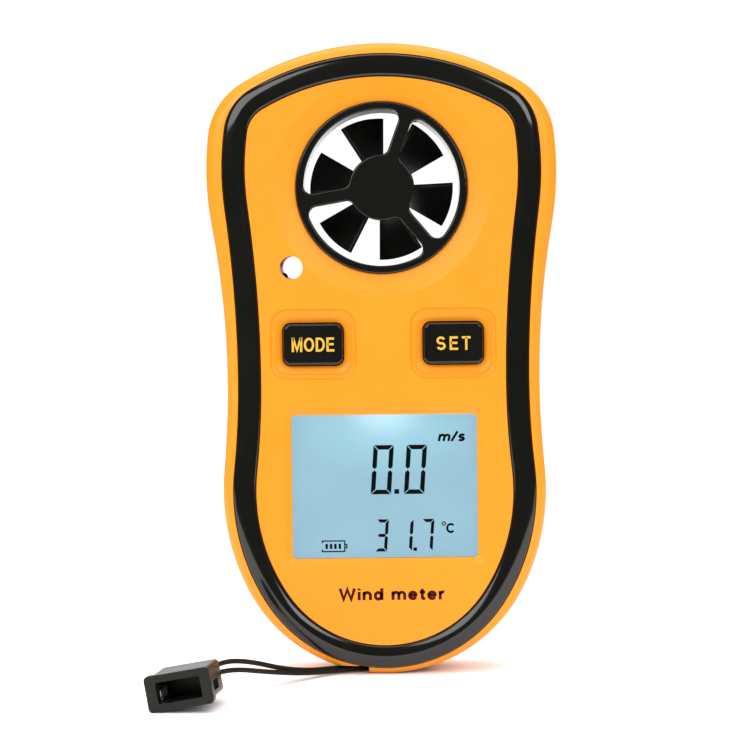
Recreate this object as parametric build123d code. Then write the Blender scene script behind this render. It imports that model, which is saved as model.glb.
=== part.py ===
"""Pocket vane anemometer with a wrist lanyard.

The meter is drawn lying on its back: x to the right, y up the face from the body's centre, z from the
back (0) to the face. place() then stands it on its lower end: +Z up the body, the face towards -Y.
The lanyard and its clip are drawn where they lie, straight in the standing frame.
"""
import math
import os

from build123d import *

# ---------------------------------------------------------------- driving sizes, millimetres
# Body outline
length = 103.4
cheek = 10.4
shoulder_flare = 3.05
shoulder_y = 31.0
waist_y = -3.3
hip_flare = 0.95
hip_y = -21.6
top_radius = 44.3
corner_radius = 11.5
flank_radius = 50.7
bottom_radius = 25.4

# Body depth
wall = 1.8
parting = 8.5
face = 17.0
front_edge_radius = 2.2
back_edge_radius = 3.8
parting_bevel = 0.2
lip_height = 0.9
lip_root = 1.5
lip_clearance = 0.1

# Black accent band in the face
rim_top = 1.87
rim_shoulder = 2.71
rim_waist = 1.91
rim_hip = 1.82
rim_bottom = 1.15
band_bottom_radius = 22.9
band_width = 3.6
band_gap = 0.12
band_seat = 1.0
band_crest = 0.6
band_round = 1.45

# Vane, its duct and guards
vane_y = 28.1
guard_radius = 14.0
guard_ring = 1.26
guard_hub = 5.35
rear_guard_ring = 1.0
rear_guard_hub = 4.6
guard_thickness = 1.6
guard_ring_height = 1.9
guard_sink = 0.1
spoke_width = 2.1
rear_spoke_width = 1.5
spoke_angles = (70, 190, 310)
spoke_fillet = 1.4
guard_edge = 0.3
guard_clearance = 0.1
dish_margin = 3.8
dish_depth = 0.8
duct_wall = 1.1
duct_collar = 1.3
duct_flange = 1.1
duct_flange_half = 1.3

blade_count = 6
blade_phase = -14.0
blade_span = 35.0
blade_gap = 1.13
blade_thickness = 0.8
blade_edge = 0.3
blade_height = 6.0
rotor_hub = 4.0
rotor_end_gap = 0.25
shaft_radius = 0.75
shaft_inset = 0.2
shaft_clearance = 0.03
press_gap = 0.01
bush_radius = 2.0
bush_length = 2.4
bush_clearance = 0.02
bush_seat = 0.1
guard_boss = 3.3
magnet_radius = 3.0
magnet_height = 2.0
magnet_gap = 0.02

# Vane sensor beside the duct
hall_gap = 0.15
hall_width = 4.0
hall_thickness = 1.5
hall_end_gap = 0.1
leg_places = (-1.27, 0.0, 1.27)
leg_width = 0.4
leg_thickness = 0.3
leg_landing = 2.0
flat_width = 4.6

# Air temperature sensor hole, placed from the vane's centre
sensor_offset = 5.71
sensor_bearing = 220.89
sensor_hole = 1.9
sensor_tube_wall = 1.2
sensor_slot = 2.2
thermistor_radius = 0.85
thermistor_setback = 0.4
lead_radius = 0.18
lead_places = (-0.35, 0.35)

# Buttons and their switches
button_x = 11.45
button_y = 2.65
button_width = 9.7
button_height = 6.75
button_corner = 1.1
button_rise = 1.0
button_edge = 0.55
button_gap = 0.2
button_travel = 0.4
button_lip = 0.8
button_lip_height = 1.0
button_lip_gap = 0.1
groove_margins = (3.4, 3.85)
groove_corner = 2.3
groove_radius = 0.55
groove_depth = 0.3
button_dish = 1.0
button_dish_depth = 0.4
switch_side = 6.0
switch_height = 3.4
plunger_radius = 1.6
plunger_rise = 0.8
plunger_depth = 1.6
plunger_gap = 0.1
stem_margin = 0.6

# Display
window_y = -20.76
window_width = 30.4
window_height = 23.6
window_corner = 0.8
window_slope = 1.2
window_sink = 0.6
window_flange = 1.3
lens_gap = 0.1
lens_flange_height = 1.3
lens_sink = 0.15
lens_corner = 1.2
lens_edge = 0.25
panel_height = 1.8
panel_margin = 1.25
frame_wall = 1.4
frame_gap = 0.1
frame_corner = 1.5
guide_gap = 0.4
strip_width = 1.8
strip_inset = 0.9
strip_end = 1.0
lamp_size = (3.2, 1.1, 1.6)
lamp_gap = 0.1

# Circuit board
board_thickness = 1.2
board_back = 7.6
board_gap = 0.6
board_setback = 1.45
board_bottom = -37.6
post_clearance = 0.4
chip_at = (0.0, -3.4)
chip_radius = 4.0
chip_height = 1.3
chip_edge = 0.9
crystal_at = (12.6, -3.0)
crystal_radius = 1.0
crystal_length = 6.0
capacitor_size = (1.6, 2.6, 1.4)
capacitor_columns = (-9.2, -13.4)
capacitor_rows = (-3.6, 6.4)
resistor_size = (1.2, 0.8, 0.5)
resistor_columns = (7.4, 15.6, 17.8)
resistor_rows = (5.4, 7.4)

# Battery
cell_radius = 10.0
cell_height = 3.2
cell_rise = 0.8
cup_gap = 0.3
cup_wall = 1.2
contact_width = 3.6
contact_thickness = 0.4
contact_foot = 2.8
contact_touch = 0.05
door_margins = (5.0, 6.0)
door_corner = 2.5
door_edge = 0.25
door_thickness = 1.5
door_gap = 0.2
door_y = -20.0
tab_width = 4.0
tab_thickness = 0.8
tab_length = 1.8
tab_root = 1.6
tab_gap = 0.3
tab_clearance = 0.15
tab_swing_gap = 0.2
tab_spacing = 13.0
grip_count = 3
grip_pitch = 1.5
grip_radius = 0.45
grip_length = 9.0
grip_inset = 3.2

# Screws
case_screws_at = ((21.4, 37.6), (-21.4, 37.6), (13.2, -40.4), (-13.2, -40.4))
board_screw_rows = (3.2, -14.0)
screw_radius = 1.0
screw_clearance = 0.25
screw_bite = 0.03
screw_head = 1.9
screw_head_height = 1.3
screw_head_sink = 0.3
screw_slot = (2.2, 0.5, 0.6)
post_radius = 2.5
case_screw_length = 10.5
board_screw_length = 4.6
board_screw_radius = 0.8
board_screw_head = 1.5
board_screw_head_height = 1.0
board_post_radius = 2.0

# Lanyard recess in the lower end
recess_half = 6.8
recess_low = 4.6
recess_high = 13.2
recess_depth = 6.3
recess_wall = 1.2
pin_radius = 0.7
pin_rise = 2.6
pin_gap = 0.02
pin_end_gap = 0.1
notch_left = -8.2
notch_right = -2.9
notch_rise = 1.45

# Lanyard clip, lying on the table beside the meter
clip_mouth = (-31.4, -44.1)
clip_yaw = -7.0
clip_roll = -10.0
clip_width = 9.2
clip_height = 5.1
clip_length = 10.6
clip_corner = 0.7
clip_flange_width = 10.2
clip_flange_height = 5.6
clip_flange_length = 1.6
clip_mouth_width = 6.9
clip_mouth_height = 3.3
clip_mouth_corner = 0.3
clip_pocket = 9.8
clip_window = (5.0, 1.5)
clip_window_inset = 1.0
clip_window_drop = 0.7
anchor_length = 3.0
anchor_width = 8.0
anchor_height = 4.4
anchor_corner = 0.9
anchor_edge = 0.5

# Lanyard cord, standing frame: clip, over the table, round the pin and back to the clip
cord_radius = 0.4
cord_route = [
    (-26.70, -31.60, 5.15),
    (-26.30, -29.40, 5.30),
    (-24.10, -26.50, 5.35),
    (-20.90, -22.40, 4.40),
    (-16.90, -16.90, 2.55),
    (-12.90, -11.40, 1.35),
    (-9.30, -7.10, 1.00),
    (-6.20, -4.40, 0.88),
    (-3.70, -2.60, 0.85),
    (-1.95, -0.90, 1.15),
    (-1.55, 1.72, 1.38),
    (-1.30, 1.72, 3.82),
    (-0.90, -0.72, 3.82),
    (-0.85, -0.80, 1.90),
    (-1.60, -2.40, 0.95),
    (-3.30, -3.95, 0.60),
    (-5.60, -5.15, 0.60),
    (-8.30, -7.00, 0.62),
    (-11.20, -10.10, 0.80),
    (-14.90, -15.20, 1.50),
    (-19.40, -21.40, 2.75),
    (-23.20, -26.60, 3.95),
    (-25.70, -29.40, 4.10),
    (-26.90, -31.55, 4.00),
]

NODES = {}


# ---------------------------------------------------------------- outline
def toward(start, end):
    """Unit vector from one point to another in the plane."""
    dx, dy = end[0] - start[0], end[1] - start[1]
    size = math.hypot(dx, dy)
    return dx / size, dy / size


def along(start, direction, distance):
    return start[0] + direction[0] * distance, start[1] + direction[1] * distance


def meeting(centre_a, radius_a, centre_b, radius_b):
    """Upper right point that lies radius_a from centre_a and radius_b from centre_b."""
    direction = toward(centre_a, centre_b)
    span = math.dist(centre_a, centre_b)
    reach = (radius_a**2 - radius_b**2 + span**2) / (2 * span)
    height = math.sqrt(radius_a**2 - reach**2)
    foot = along(centre_a, direction, reach)
    options = [along(foot, (-direction[1] * s, direction[0] * s), height) for s in (1, -1)]
    return max(options, key=lambda point: point[0])


class Outline:
    """A pebble outline of tangent arcs, symmetric about x = 0, that can be drawn at any inset."""

    def __init__(self, top, bottom, shoulder, waist, hip, radii):
        r_top, r_corner, r_flank, r_bottom = radii
        top_centre = (0.0, top - r_top)
        bottom_centre = (0.0, bottom + r_bottom)
        flank_centre = (shoulder - r_flank, shoulder_y)
        corner_centre = meeting(top_centre, r_top - r_corner, flank_centre, r_flank - r_corner)
        upper_sum = ((shoulder_y - waist_y) ** 2 + (shoulder - waist) ** 2) / (2 * (shoulder - waist))
        upper_centre = (waist + upper_sum - r_flank, waist_y)
        hip_rise = hip_y - bottom_centre[1]
        r_hip = (hip**2 + hip_rise**2 - r_bottom**2) / (2 * (hip - r_bottom))
        hip_centre = (hip - r_hip, hip_y)
        lower_sum = ((waist_y - hip_y) ** 2 + (hip - waist) ** 2) / (2 * (hip - waist))
        lower_centre = (waist + lower_sum - r_hip, waist_y)
        joints = [
            along(top_centre, toward(top_centre, corner_centre), r_top),
            along(flank_centre, toward(flank_centre, corner_centre), r_flank),
            along(flank_centre, toward(flank_centre, upper_centre), r_flank),
            (waist, waist_y),
            along(hip_centre, toward(hip_centre, lower_centre), r_hip),
            along(hip_centre, toward(hip_centre, bottom_centre), r_hip),
        ]
        self.top, self.bottom = top, bottom
        # right-hand arcs from the top down: centre, start, end, and +1 where convex or -1 where concave
        self.arcs = [
            (corner_centre, joints[0], joints[1], 1),
            (flank_centre, joints[1], joints[2], 1),
            (upper_centre, joints[2], joints[3], -1),
            (lower_centre, joints[3], joints[4], -1),
            (hip_centre, joints[4], joints[5], 1),
        ]

    def side(self, inset):
        """Start, middle and end of each right-hand arc at an inset."""
        found = []
        for centre, start, end, sign in self.arcs:
            radius = math.dist(centre, start) - sign * inset
            first, last = toward(centre, start), toward(centre, end)
            middle = toward((0, 0), (first[0] + last[0], first[1] + last[1]))
            found.append([along(centre, direction, radius) for direction in (first, middle, last)])
        return found

    def sketch(self, inset=0.0):
        right = self.side(inset)
        left = [[(-x, y) for x, y in reversed(points)] for points in reversed(right)]
        top_arc = [left[-1][2], (0.0, self.top - inset), right[0][0]]
        bottom_arc = [right[-1][2], (0.0, self.bottom + inset), left[0][0]]
        return make_face([ThreePointArc(*points) for points in [top_arc, *right, bottom_arc, *left]])


waist_half = window_width / 2 + cheek
shoulder_half = waist_half + shoulder_flare
hip_half = waist_half + hip_flare
body_outline = Outline(
    length / 2, -length / 2, shoulder_half, waist_half, hip_half,
    (top_radius, corner_radius, flank_radius, bottom_radius),
)
band_outline = Outline(
    length / 2 - rim_top, rim_bottom - length / 2,
    shoulder_half - rim_shoulder, waist_half - rim_waist, hip_half - rim_hip,
    (top_radius - rim_top, corner_radius - rim_shoulder, flank_radius - rim_shoulder,
     band_bottom_radius),
)


# ---------------------------------------------------------------- helpers
def slab(sketch, low, high):
    """A sketch drawn out from one depth to another."""
    return extrude(Pos(0, 0, low) * sketch, high - low)


def disc(x, y, radius, low, high):
    return slab(Pos(x, y) * Circle(radius), low, high)


def tube(x, y, outer, inner, low, high):
    return disc(x, y, outer, low, high) - disc(x, y, inner, low, high)


def block(x, y, width, height, low, high, corner=0.0):
    shape = RectangleRounded(width, height, corner) if corner else Rectangle(width, height)
    return slab(Pos(x, y) * shape, low, high)


def frustum(x, y, size_low, size_high, low, high, corner):
    """A rounded rectangle that changes size from one depth to the next."""
    ends = [
        Pos(x, y, z) * RectangleRounded(width, height, corner + (width - size_low[0]) / 2)
        for (width, height), z in ((size_low, low), (size_high, high))
    ]
    return loft(ends)


def place(solid):
    """Stand a piece drawn on its back on the meter's lower end, centred front to back."""
    return Pos(0, depth / 2, length / 2) * Rot(90, 0, 0) * solid


def keep(name, solid):
    NODES[name] = solid


def keep_placed(name, solid):
    keep(name, place(solid))


# ---------------------------------------------------------------- levels worked out from the sizes
depth = face + button_rise
inner_face = face - wall
board_front = board_back + board_thickness
guard_opening = guard_radius - guard_ring
rear_guard_opening = guard_radius - rear_guard_ring
duct_bore = guard_radius - duct_wall
blade_tip = duct_bore - blade_gap
dish_radius = guard_radius + dish_margin
hole_radius = guard_radius + guard_clearance
collar_radius = hole_radius + duct_collar
guard_front = face - guard_sink
guard_back = guard_sink
duct_front = guard_front - guard_ring_height
duct_back = guard_back + guard_ring_height
flange_low = parting - duct_flange_half
flange_high = parting + duct_flange_half
hall_outer = vane_y - guard_radius - hall_gap
board_top = hall_outer - hall_thickness - board_setback
sensor_reach = guard_radius + sensor_offset
sensor_x = sensor_reach * math.cos(math.radians(sensor_bearing))
sensor_y = vane_y + sensor_reach * math.sin(math.radians(sensor_bearing))
button_base = board_front + switch_height + plunger_rise
groove_width = button_width + groove_margins[0]
groove_height = button_height + groove_margins[1]
panel_front = inner_face - lens_flange_height
panel_back = panel_front - panel_height
window_front = face - window_sink
lens_size = (window_width + 2 * window_flange, window_height + 2 * window_flange)
panel_size = (window_width + 2 * panel_margin, window_height + 2 * panel_margin)
frame_bore = (panel_size[0] + 2 * frame_gap, panel_size[1] + 2 * frame_gap)
frame_half = frame_bore[0] / 2 + frame_wall
board_screw_x = (frame_half + waist_half - wall) / 2
board_screws_at = (
    (0.0, board_screw_rows[0]), (board_screw_x, board_screw_rows[1]), (-board_screw_x, board_screw_rows[1])
)
bush_front = guard_front - guard_thickness - bush_seat
bush_back = guard_back + guard_thickness + bush_seat
rotor_front = bush_front - bush_length - rotor_end_gap
rotor_back = bush_back + bush_length + rotor_end_gap
pin_y = pin_rise - length / 2
cell_back = wall + cell_rise
door_width = 2 * cell_radius + door_margins[0]
door_height = 2 * cell_radius + door_margins[1]
door_hole = (door_width + 2 * door_gap, door_height + 2 * door_gap)
hinge_y = door_y - door_height / 2
tab_top = wall + tab_clearance
tab_end = tab_top + tab_thickness
tab_reach = math.hypot(tab_end, tab_length) + tab_swing_gap
case_head_seat = screw_head_height + screw_head_sink


# ---------------------------------------------------------------- shells
def case_post(x, y, low, high, hole):
    return tube(x, y, post_radius, hole, low, high)


def lanyard_block(low, high):
    """The walls round the lanyard recess, within one shell."""
    height = recess_depth + recess_wall
    box = block(
        0, height / 2 - length / 2, 2 * (recess_half + recess_wall), height,
        recess_low - recess_wall, recess_high + recess_wall,
    )
    return box & slab(body_outline.sketch(0.5), low, high)


def lanyard_cuts():
    opening = block(
        0, recess_depth / 2 - length / 2, 2 * recess_half, recess_depth, recess_low, recess_high
    )
    under = block(0, -length / 2, 2 * recess_half, 1.0, recess_low, recess_high)
    seat = Pos(0, pin_y, parting) * Rot(0, 90, 0) * Cylinder(
        pin_radius + pin_gap, 2 * (recess_half + recess_wall)
    )
    return opening + under + seat


def band_groove():
    outer = band_outline.sketch(-band_gap)
    inner = band_outline.sketch(band_width + band_gap)
    return slab(outer - inner, face - band_seat, depth)


def button_cuts(x):
    hole = block(
        x, button_y, button_width + 2 * button_gap, button_height + 2 * button_gap,
        inner_face - 1, depth, button_corner + button_gap,
    )
    small = (button_width + 2 * button_gap, button_height + 2 * button_gap)
    large = (small[0] + 2 * button_dish, small[1] + 2 * button_dish)
    dish = frustum(x, button_y, small, large, face - button_dish_depth, face, button_corner)
    centre_z = face + groove_radius - groove_depth
    ring = Pos(x, button_y, centre_z) * RectangleRounded(groove_width, groove_height, groove_corner)
    start = ring.edges().filter_by(GeomType.LINE).sort_by(Axis.Y)[-1].center()
    groove = sweep(
        Plane(origin=start, z_dir=(1, 0, 0)) * Circle(groove_radius), path=ring.wires()[0]
    )
    return hole + dish + groove


def window_cuts():
    small = (window_width, window_height)
    large = (window_width + 2 * window_slope, window_height + 2 * window_slope)
    slope = frustum(0, window_y, small, large, window_front, face, window_corner)
    return slope + block(0, window_y, *small, inner_face - 1, face, window_corner)


def vane_cuts(low, high):
    return disc(0, vane_y, hole_radius, low, high)


def front_shell():
    shell = slab(body_outline.sketch(), parting, face)
    shell = fillet(shell.edges().group_by(Axis.Z)[-1], front_edge_radius)
    shell = chamfer(shell.edges().group_by(Axis.Z)[0], parting_bevel)
    shell -= slab(body_outline.sketch(wall), parting, inner_face)
    inside = slab(body_outline.sketch(wall / 2), parting, inner_face)
    for x, y in case_screws_at:
        shell += case_post(x, y, parting, inner_face, screw_radius + screw_bite) & inside
    shell += tube(0, vane_y, collar_radius, hole_radius, flange_high, inner_face)
    tube_low = parting + sensor_slot / 2
    shell += disc(sensor_x, sensor_y, sensor_hole + sensor_tube_wall, tube_low, inner_face)
    shell += lanyard_block(parting, inner_face)
    rabbet = body_outline.sketch(wall / 2) - body_outline.sketch(wall + lip_clearance)
    shell -= slab(rabbet, parting, parting + lip_height + lip_clearance)
    dish = Pos(0, vane_y, face - dish_depth / 2) * Cone(
        hole_radius, dish_radius, dish_depth
    )
    shell -= dish + vane_cuts(parting, depth)
    shell -= band_groove()
    shell -= disc(sensor_x, sensor_y, sensor_hole, parting, depth)
    for side in (-1, 1):
        shell -= button_cuts(side * button_x)
    shell -= window_cuts()
    notch_width = notch_right - notch_left
    notch = block(
        (notch_left + notch_right) / 2, -length / 2, notch_width, 2 * notch_rise, recess_high, depth
    )
    return shell - lanyard_cuts() - notch


def battery_bay():
    """A wall round the door's opening, closing in above it to hold the cell, with slots for the tabs."""
    outer = (door_hole[0] + 2 * cup_wall, door_hole[1] + 2 * cup_wall)
    bay = block(0, door_y, *outer, wall, cell_back + cell_height, door_corner + cup_wall)
    bay -= block(0, door_y, *door_hole, wall, cell_back + cup_gap, door_corner + door_gap)
    cell_bore = cell_radius + cup_gap
    bay -= disc(0, door_y, cell_bore, wall, board_back)
    for x in (-tab_spacing / 2, tab_spacing / 2):
        slot = (tab_width + 2 * tab_gap, 2 * (tab_root + cup_wall))
        bay -= block(x, hinge_y + tab_gap, *slot, wall, tab_reach)
    contact_slot = 2 * contact_thickness + cup_wall
    return bay - block(cell_bore, door_y, contact_slot, contact_width + cup_wall, wall, board_back)


def rear_shell():
    shell = slab(body_outline.sketch(), 0, parting)
    shell = fillet(shell.edges().group_by(Axis.Z)[0], back_edge_radius)
    shell = chamfer(shell.edges().group_by(Axis.Z)[-1], parting_bevel)
    shell -= slab(body_outline.sketch(wall), wall, parting)
    lip = body_outline.sketch(wall / 2 + lip_clearance) - body_outline.sketch(wall)
    shell += slab(lip, parting - lip_root, parting + lip_height)
    inside = slab(body_outline.sketch(wall / 2), wall / 2, parting)
    for x, y in case_screws_at:
        shell += case_post(x, y, wall / 2, parting, screw_radius) & inside
        shell -= disc(x, y, screw_radius + screw_clearance, 0, depth)
        shell -= disc(x, y, screw_head + screw_clearance, 0, case_head_seat)
    for x, y in board_screws_at:
        shell += tube(x, y, board_post_radius, board_screw_radius + screw_bite, wall, board_back)
    shell += tube(0, vane_y, collar_radius, hole_radius, wall, flange_low)
    tube_high = parting - sensor_slot / 2
    shell += disc(sensor_x, sensor_y, sensor_hole + sensor_tube_wall, wall, tube_high)
    shell += battery_bay()
    shell += lanyard_block(wall, parting)
    shell -= vane_cuts(0, parting)
    shell -= disc(sensor_x, sensor_y, sensor_hole, 0, parting)
    shell -= block(0, door_y, *door_hole, 0, wall, door_corner + door_gap)
    return shell - lanyard_cuts()


def accent_band():
    ring = band_outline.sketch() - band_outline.sketch(band_width)
    band = slab(ring, face - band_seat, face + band_crest)
    return fillet(band.edges().group_by(Axis.Z)[-1], band_round)


# ---------------------------------------------------------------- vane
def guard(level, outward, opening, hub, spoke):
    """A spider of three spokes; level is its outer face, outward +1 at the face or -1 at the back."""
    spider = Circle(guard_radius) - Circle(opening) + Circle(hub)
    for angle in spoke_angles:
        middle = Rot(0, 0, angle) * Pos((hub + opening) / 2, 0)
        spider += middle * Rectangle(opening - hub + guard_ring, spoke)
    corners = [v for v in spider.vertices() if Vector(v.X, v.Y).length < opening + guard_ring / 2]
    spider = fillet(corners, spoke_fillet)
    inner = level - outward * guard_thickness
    solid = slab(Pos(0, vane_y) * spider, min(level, inner), max(level, inner))
    outer_edges = solid.edges().group_by(Axis.Z)[-1 if outward > 0 else 0]
    solid = fillet(outer_edges, guard_edge)
    deep = level - outward * guard_ring_height
    solid += tube(0, vane_y, guard_radius, opening, *sorted((inner, deep)))
    boss_end = inner - outward * (bush_length + bush_seat)
    solid += disc(0, vane_y, guard_boss, *sorted((inner, boss_end)))
    return solid - disc(0, vane_y, bush_radius + bush_clearance, *sorted((inner, boss_end)))


def vane_duct():
    """The vane's bore, with a flange held between the shells and a flat on it for the vane sensor."""
    duct = tube(0, vane_y, guard_radius, duct_bore, duct_back, duct_front)
    duct += tube(0, vane_y, guard_radius + duct_flange, guard_radius, flange_low, flange_high)
    flat_y = hall_outer - duct_flange / 2
    return duct - block(0, flat_y, flat_width, duct_flange, flange_low, flange_high)


def impeller():
    """Six helical blades on a hub. Each blade is drawn out from the axis and trimmed to the tip circle."""
    half = math.radians(blade_span / 2)
    blades = None
    for index in range(blade_count):
        ends = []
        for radius in (rotor_hub - blade_thickness, duct_bore):
            spread = radius * math.tan(half)
            tilt = math.degrees(math.atan2(blade_height, 2 * spread))
            chord = math.hypot(blade_height, 2 * spread)
            ends.append(Plane(origin=(radius, 0, 0), x_dir=(0, 1, 0), z_dir=(1, 0, 0))
                        * Rot(0, 0, tilt) * RectangleRounded(chord, blade_thickness, blade_edge))
        blade = Rot(0, 0, blade_phase + index * 360 / blade_count) * loft(ends, ruled=True)
        blades = blade if blades is None else blades + blade
    blades &= Cylinder(blade_tip, 2 * blade_height)
    middle = (rotor_front + rotor_back) / 2
    rotor = Pos(0, vane_y, middle) * blades + disc(0, vane_y, rotor_hub, rotor_back, rotor_front)
    rotor -= disc(0, vane_y, magnet_radius + magnet_gap, rotor_back, rotor_back + magnet_height)
    return rotor - disc(0, vane_y, shaft_radius + press_gap, rotor_back, rotor_front)


def rotor_magnet():
    bore = shaft_radius + shaft_inset
    return tube(0, vane_y, magnet_radius, bore, rotor_back, rotor_back + magnet_height)


def vane_shaft():
    return disc(0, vane_y, shaft_radius, bush_back + shaft_inset, bush_front - shaft_inset)


def bush(low):
    return tube(0, vane_y, bush_radius, shaft_radius + shaft_clearance, low, low + bush_length)


def hall_parts():
    """The vane sensor beside the duct, and its three legs down to the board."""
    low = hall_outer - hall_thickness
    body = block(0, low + hall_thickness / 2, hall_width, hall_thickness,
                 flange_low + hall_end_gap, flange_high - hall_end_gap)
    run = low - board_top + leg_landing
    legs = [
        block(x, low - run / 2, leg_width, run, board_front, board_front + leg_thickness)
        for x in leg_places
    ]
    return body, Compound(children=legs)


def thermistor_parts():
    """The temperature bead in the side of the sensor hole, and its two leads."""
    offset = (sensor_hole + thermistor_setback) * math.sqrt(0.5)
    x, y = sensor_x - offset, sensor_y - offset
    bead = Pos(x, y, parting) * Sphere(thermistor_radius)
    run = y - board_top + leg_landing
    leads = []
    for shift in lead_places:
        at = Pos(x + shift, y - run / 2, board_front + lead_radius)
        leads.append((at * Rot(90, 0, 0) * Cylinder(lead_radius, run) - bead).solid())
    return bead, Compound(children=leads)


# ---------------------------------------------------------------- buttons and display
def button(x):
    """A key cap with a retaining lip inside the case and a stem down to the plunger."""
    lip_top = inner_face - button_lip_gap
    lip_low = lip_top - button_lip_height
    cap = block(x, button_y, button_width, button_height, lip_low, depth, button_corner)
    cap = fillet(cap.edges().group_by(Axis.Z)[-1], button_edge)
    lip_size = (button_width + 2 * button_lip, button_height + 2 * button_lip)
    cap += block(x, button_y, *lip_size, lip_low, lip_top, button_corner)
    return cap + disc(x, button_y, plunger_radius + stem_margin, button_base, lip_low)


def switch(x):
    top = board_front + switch_height
    body = block(x, button_y, switch_side, switch_side, board_front, top)
    well = top - 2 * button_travel - plunger_depth
    return body - disc(x, button_y, plunger_radius + plunger_gap, well, top)


def plunger(x):
    low = board_front + switch_height - button_travel - plunger_depth
    return disc(x, button_y, plunger_radius, low, button_base)


def window_lens():
    flange = block(0, window_y, *lens_size, panel_front, inner_face, lens_corner)
    raised_size = (window_width - 2 * lens_gap, window_height - 2 * lens_gap)
    raised = block(0, window_y, *raised_size, panel_front, window_front - lens_sink,
                   window_corner - lens_gap)
    return flange + chamfer(raised.edges().group_by(Axis.Z)[-1], lens_edge)


def display_stack():
    """Glass, light guide, lamp, conductive strip and the frame that holds them on the board."""
    width, height = panel_size
    strip_y = window_y - height / 2 + strip_inset + strip_width / 2
    guide_low = strip_y + strip_width / 2 + guide_gap
    guide_high = window_y + height / 2 - lamp_size[1] - guide_gap - lamp_gap
    lamp_y = guide_high + lamp_gap + lamp_size[1] / 2
    outer = (frame_bore[0] + 2 * frame_wall, frame_bore[1] + 2 * frame_wall)
    holder = block(0, window_y, *outer, board_front, panel_front, frame_corner)
    holder -= block(0, window_y, *frame_bore, board_front, panel_front)
    return {
        "lcd_panel": block(0, window_y, width, height, panel_back, panel_front),
        "lcd_frame": holder,
        "backlight_guide": block(
            0, (guide_low + guide_high) / 2, width, guide_high - guide_low, board_front, panel_back
        ),
        "backlight_led": block(0, lamp_y, *lamp_size[:2], board_front, board_front + lamp_size[2]),
        "zebra_strip": block(0, strip_y, width - 2 * strip_end, strip_width, board_front, panel_back),
    }


# ---------------------------------------------------------------- board, battery, screws
def circuit_board():
    plate = slab(body_outline.sketch(wall + board_gap), board_back, board_front)
    height = board_top - board_bottom
    plate &= block(0, (board_top + board_bottom) / 2, length, height, board_back, board_front)
    for x, y in board_screws_at:
        plate -= disc(x, y, board_screw_radius + screw_clearance, board_back, board_front)
    for x, y in case_screws_at:
        plate -= disc(x, y, post_radius + post_clearance, board_back, board_front)
    return plate


def chips(size, columns, rows):
    """A group of equal blocks soldered to the back of the board."""
    width, height, thickness = size
    return Compound(children=[
        block(x, y, width, height, board_back - thickness, board_back).solid() for x in columns for y in rows
    ])


def board_parts():
    """What is soldered to the back of the board, above and beside the battery."""
    chip = disc(*chip_at, chip_radius, board_back - chip_height, board_back)
    axis = Pos(*crystal_at, board_back - crystal_radius) * Rot(90, 0, 0)
    return {
        "main_chip": fillet(chip.edges().group_by(Axis.Z)[0], chip_edge),
        "clock_crystal": axis * Cylinder(crystal_radius, crystal_length),
        "capacitors": chips(capacitor_size, capacitor_columns, capacitor_rows),
        "resistors": chips(resistor_size, resistor_columns, resistor_rows),
    }


def positive_contact():
    """A leaf against the cell's rim, with a foot under the board."""
    x = cell_radius + contact_touch
    leaf = block(x + contact_thickness / 2, door_y, contact_thickness, contact_width,
                 cell_back + contact_thickness, board_back)
    return leaf + block(x + contact_foot / 2, door_y, contact_foot, contact_width,
                        board_back - contact_thickness, board_back)


def negative_contact():
    """A bent leaf from under the board down onto the cell's face."""
    cell_front = cell_back + cell_height
    rise = board_back - cell_front
    thick = contact_thickness
    profile = Polyline((-6, rise), (-2.6, rise), (1.0, thick), (3.6, thick), (3.6, 0), (0.9, 0),
                       (-2.8, rise - thick), (-6, rise - thick), close=True)
    side = Plane(origin=(0, door_y + contact_width / 2, cell_front), x_dir=(1, 0, 0), z_dir=(0, -1, 0))
    return extrude(side * make_face(profile.edges()), contact_width)


def battery_door():
    """A snap-in cover with three finger grooves and two hooks that turn in the case's lower edge."""
    plate = block(0, door_y, door_width, door_height, 0, door_thickness, door_corner)
    plate = chamfer(plate.edges().group_by(Axis.Z)[0], door_edge)
    grip_y = door_y + door_height / 2 - grip_inset
    for index in range(grip_count):
        across = Pos(0, grip_y - grip_pitch * index, 0) * Rot(0, 90, 0)
        plate -= across * Cylinder(grip_radius, grip_length)
    for x in (-tab_spacing / 2, tab_spacing / 2):
        plate += block(x, hinge_y + tab_root / 2, tab_width, tab_root, door_thickness, tab_end)
        plate += block(x, hinge_y - tab_length / 2, tab_width, tab_length, tab_top, tab_end)
    return plate


def screw(x, y, start, head, shank):
    """A pan head cross screw driven towards the face. start is the depth where its shank begins."""
    head_radius, head_height = head
    shank_radius, shank_length = shank
    long, short, deep = screw_slot
    low = start - head_height
    solid = disc(x, y, shank_radius, start, start + shank_length) + disc(x, y, head_radius, low, start)
    for width, height in ((long, short), (short, long)):
        solid -= block(x, y, width, height, low, low + deep)
    return solid.solid()


def case_screws():
    head = (screw_head, screw_head_height)
    shank = (screw_radius, case_screw_length)
    return Compound(children=[screw(x, y, case_head_seat, head, shank) for x, y in case_screws_at])


def board_screws():
    """Driven from the face side of the board into the rear shell's posts."""
    head = (board_screw_head, board_screw_head_height)
    shank = (board_screw_radius, board_screw_length)
    return Compound(children=[
        Rot(180, 0, 0) * screw(x, -y, -board_front, head, shank) for x, y in board_screws_at
    ])


# ---------------------------------------------------------------- lanyard
def clip_pose(solid):
    return Pos(*clip_mouth, 0) * Rot(0, 0, clip_yaw) * Rot(0, clip_roll, 0) * solid


def clip_box(width, height, start, end, corner=0.0):
    """A box along the clip, drawn with its mouth at y = 0."""
    shape = RectangleRounded(width, height, corner) if corner else Rectangle(width, height)
    return extrude(Plane(origin=(0, start, 0), x_dir=(1, 0, 0), z_dir=(0, 1, 0)) * shape, end - start)


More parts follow.
